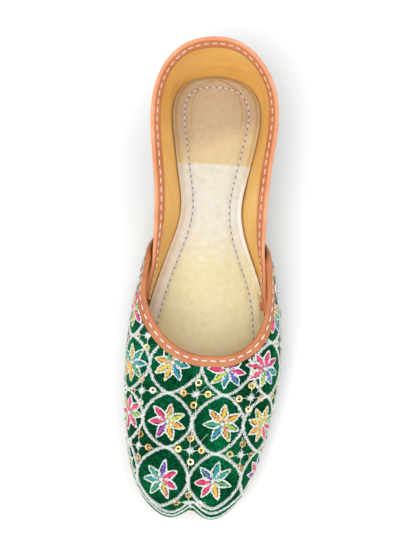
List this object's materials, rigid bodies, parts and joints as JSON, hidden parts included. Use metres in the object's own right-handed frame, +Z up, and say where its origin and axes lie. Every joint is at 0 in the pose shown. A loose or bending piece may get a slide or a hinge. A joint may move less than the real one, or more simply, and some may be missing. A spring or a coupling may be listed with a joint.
{
  "type": "mojari shoe",
  "caption": "Flat slip-on left shoe with a velvet vamp, round toe with a notch, open throat and collar with leather bound edges, padded insole, leather sole and low heel.",
  "frame": {"origin": "middle of the shoe's bounding box in plan, on the floor it stands on", "axes": "+Z up, the toe points to -Y, the outer side of the foot is +X and the inner side -X"},
  "size_m": [0.0844, 0.2568, 0.0574],
  "materials": {
    "sole_leather": "natural vegetable tanned leather, matt, cut edge",
    "heel_leather": "stacked leather, matt",
    "insole_leather": "smooth cream gold leather with a soft sheen",
    "velvet": "dark green velvet, embroidered on the vamp, with a yellow tan leather lining",
    "binding_leather": "tan leather strip, folded and stitched"
  },
  "bodies": {
    "root": {"outsole": "sole_leather", "heel": "heel_leather", "insole": "insole_leather", "upper": "velvet", "throat_binding": "binding_leather", "collar_binding": "binding_leather"}
  },
  "joints": []
}
